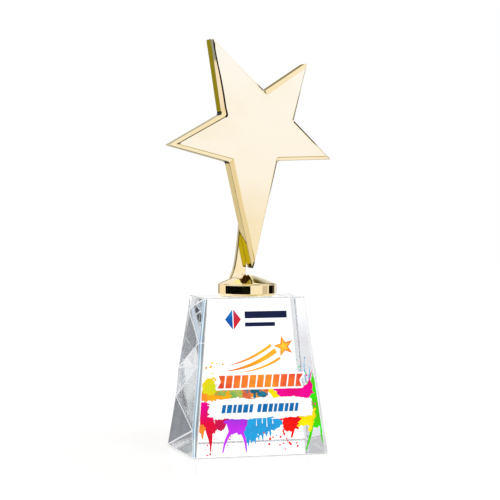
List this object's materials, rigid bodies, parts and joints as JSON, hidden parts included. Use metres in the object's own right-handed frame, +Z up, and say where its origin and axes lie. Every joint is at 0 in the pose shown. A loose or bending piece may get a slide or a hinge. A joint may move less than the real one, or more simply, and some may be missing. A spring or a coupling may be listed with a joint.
{
  "type": "star trophy",
  "caption": "Gold star award on a curved blade stem and round foot, bonded to a tapered clear crystal block with a colourful printed front.",
  "frame": {"origin": "centre of the crystal block's flat bottom face, which rests on the table", "axes": "+Z up along the trophy's height, -Y out of the printed front, +X to the front's right"},
  "size_m": [0.1154, 0.074, 0.2839],
  "materials": {
    "crystal": "clear optical crystal, polished, crisp cut edges",
    "bond": "clear cured adhesive",
    "gold_star": "mirror-polished gold plate",
    "gold_plate": "gold plate, finely brushed back",
    "gold_stem": "mirror-polished gold plate",
    "gold_foot": "mirror-polished gold plate, turned",
    "steel": "plain zinc-plated steel",
    "ink_splash": "multi-colour UV-printed ink with a slight satin gloss",
    "ink_white": "white UV-printed ink",
    "ink_blue": "blue UV-printed ink",
    "ink_navy": "dark navy UV-printed ink",
    "ink_red": "red UV-printed ink",
    "ink_orange_red": "orange-red UV-printed ink",
    "ink_orange": "orange UV-printed ink",
    "ink_yellow": "yellow-orange UV-printed ink"
  },
  "bodies": {
    "root": {"crystal_block": "crystal", "foot_bond_film": "bond", "foot_disc": "gold_foot", "stem_blade": "gold_stem", "foot_screw": "steel", "foot_washer": "steel", "star_casting": "gold_star", "star_back_plate": "gold_plate", "star_screw_lower": "steel", "star_screw_upper": "steel", "print_splash": "ink_splash", "print_label": "ink_white", "print_label_rule": "ink_blue", "print_word_bar": "ink_orange_red", "print_swoosh": "ink_orange", "print_swoosh_star": "ink_yellow", "print_emblem_left": "ink_blue", "print_emblem_right": "ink_red", "print_caption_upper": "ink_navy", "print_caption_lower": "ink_navy"}
  },
  "joints": []
}
